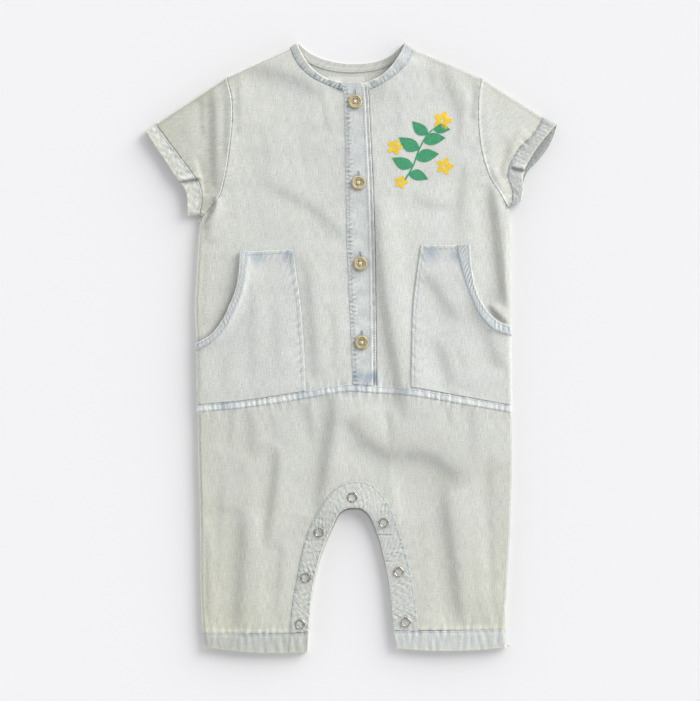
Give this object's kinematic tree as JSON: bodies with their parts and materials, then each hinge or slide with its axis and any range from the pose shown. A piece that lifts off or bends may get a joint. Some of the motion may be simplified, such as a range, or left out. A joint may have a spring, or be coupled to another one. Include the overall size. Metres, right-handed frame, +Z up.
{
  "type": "baby overalls",
  "caption": "Baby's short-sleeved denim overalls laid flat, with a buttoned front, patch pockets with curved openings, a waist seam and a snapped inside leg.",
  "frame": {"origin": "middle of the garment's box, on the surface that the back lies on", "axes": "+Y from the hems to the neck, +X to the wearer's left, +Z up out of the front"},
  "size_m": [0.3885, 0.5738, 0.011],
  "materials": {
    "denim": "pale bleached grey-green denim, matt, with fine slubs along the grain",
    "denim_back": "the same denim on the back panels, matt",
    "trim_cloth": "the same denim in bluish grey where it is turned, bound and topstitched",
    "label_tape": "plain white woven tape",
    "button": "tan horn-like plastic, half gloss",
    "snap": "silvery brown ring snap"
  },
  "bodies": {
    "root": {"back_bodice": "denim_back", "back_lower": "denim_back", "front_bodice_right": "denim", "front_bodice_left": "denim", "front_lower": "denim", "placket_under": "denim", "placket": "denim", "waist_strip": "denim", "sleeve_right": "denim", "sleeve_left": "denim", "pocket_right": "denim", "pocket_left": "denim", "hem_front_right": "denim", "hem_front_left": "denim", "hem_back_right": "denim_back", "hem_back_left": "denim_back", "cuff_right": "trim_cloth", "cuff_left": "trim_cloth", "pocket_binding_right": "trim_cloth", "pocket_binding_left": "trim_cloth", "neck_binding_right": "trim_cloth", "neck_binding_left": "trim_cloth", "neck_band_back": "trim_cloth", "crotch_facing": "trim_cloth", "crotch_facing_back": "trim_cloth", "neck_label": "label_tape", "button_1": "button", "button_2": "button", "button_3": "button", "button_4": "button", "snap_1": "snap", "snap_2": "snap", "snap_3": "snap", "snap_4": "snap", "snap_5": "snap", "snap_6": "snap", "snap_7": "snap"}
  },
  "joints": []
}
